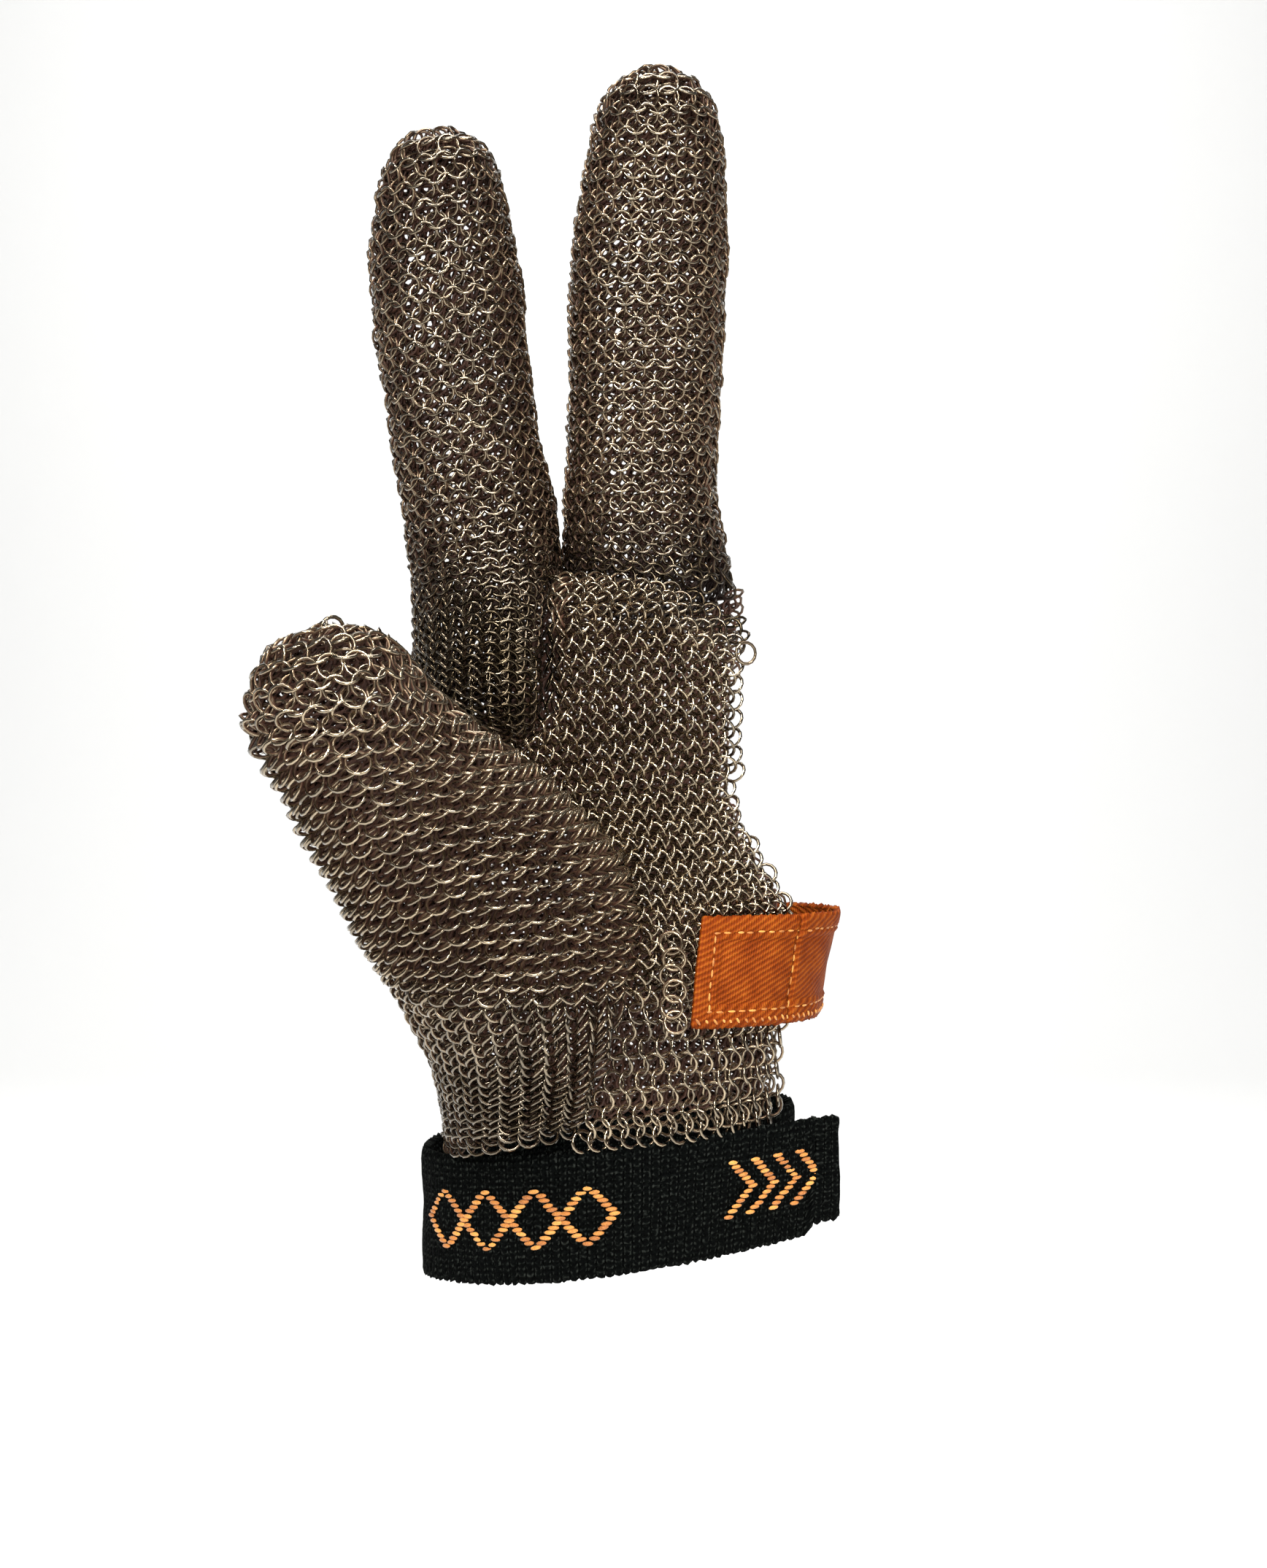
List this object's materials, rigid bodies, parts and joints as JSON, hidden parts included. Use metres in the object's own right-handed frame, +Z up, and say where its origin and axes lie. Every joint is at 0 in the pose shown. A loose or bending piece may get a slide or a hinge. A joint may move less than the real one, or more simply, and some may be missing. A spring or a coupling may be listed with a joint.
{
  "type": "three-finger chainmail glove",
  "caption": "Left-hand chainmail glove with mail thumb, index and middle finger, an open little-finger side crossed by an orange webbing tab, and a black webbing wrist strap.",
  "frame": {"origin": "inside the wrist opening, on the wrist's axis within the strap's loop", "axes": "+Z up along the hand to the fingertips, -Y out of the palm, +X to the little-finger side"},
  "size_m": [0.0898, 0.0939, 0.2024],
  "materials": {
    "steel_rings": "linked wire rings, bright with a warm grey tarnish",
    "orange_webbing": "twill-woven webbing with stitched edges",
    "black_webbing": "ribbed webbing with woven orange stitches"
  },
  "bodies": {
    "root": {"hand_mail": "steel_rings", "thumb_mail": "steel_rings", "index_mail": "steel_rings", "middle_mail": "steel_rings", "ulnar_tab": "orange_webbing", "wrist_strap": "black_webbing"}
  },
  "joints": []
}
